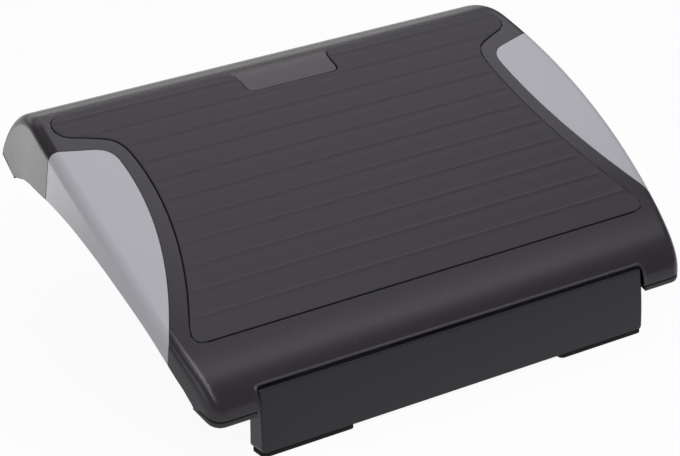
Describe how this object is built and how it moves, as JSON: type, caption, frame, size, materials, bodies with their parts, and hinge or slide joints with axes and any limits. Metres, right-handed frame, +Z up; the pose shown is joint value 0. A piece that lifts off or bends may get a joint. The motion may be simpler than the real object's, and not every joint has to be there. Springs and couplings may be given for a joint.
{
  "type": "tilting footrest",
  "caption": "Arched under desk footrest platform with an inset ribbed rubber mat and grey side panels, rocking on a low base with rubber feet.",
  "frame": {"origin": "middle of the box round the object, on the floor under its rubber feet", "axes": "+X across the width, to the right as the user sits; +Y away from the user, towards the high rear edge; +Z up"},
  "size_m": [0.4904, 0.336, 0.199],
  "materials": {
    "shell": "fine moulded grain, dark charcoal",
    "mat": "matt, soft, raised ribs",
    "panel": "satin silver-grey",
    "strip": "matt, near black",
    "base": "fine moulded grain, black",
    "bracket": "glass-filled, matt",
    "rubber": "matt",
    "nylon": "natural, waxy",
    "steel": "zinc plated"
  },
  "bodies": {
    "base": {"base_front_beam": "base", "base_frame": "base", "pivot_axle": "steel", "front_foot_left": "rubber", "rear_foot_left": "rubber", "pivot_tower_left": "bracket", "thrust_washer_left": "nylon", "axle_clip_left": "steel", "front_stop_pad_left": "rubber", "rear_stop_pad_left": "rubber", "front_foot_right": "rubber", "rear_foot_right": "rubber", "pivot_tower_right": "bracket", "thrust_washer_right": "nylon", "axle_clip_right": "steel", "front_stop_pad_right": "rubber", "rear_stop_pad_right": "rubber", "tower_screw_1": "steel", "tower_screw_2": "steel", "tower_screw_3": "steel", "tower_screw_4": "steel", "beam_screw_1": "steel", "beam_screw_2": "steel", "beam_screw_3": "steel", "beam_screw_4": "steel"},
    "platform": {"top_shell": "shell", "rubber_mat": "mat", "left_side_panel": "panel", "right_side_panel": "panel", "front_lip_strip_left": "strip", "rear_lip_strip_left": "strip", "rocker_bracket_left": "bracket", "pivot_bush_left": "nylon", "front_lip_strip_right": "strip", "rear_lip_strip_right": "strip", "rocker_bracket_right": "bracket", "pivot_bush_right": "nylon", "bracket_screw_1": "steel", "bracket_screw_2": "steel", "bracket_screw_3": "steel", "bracket_screw_4": "steel"}
  },
  "joints": [
    {"name": "tilt", "type": "hinge", "parent": "base", "child": "platform", "pos_m": [0, -0.00077, 0.124], "axis": [-1, 0, 0], "range_deg": [0, 35]}
  ]
}
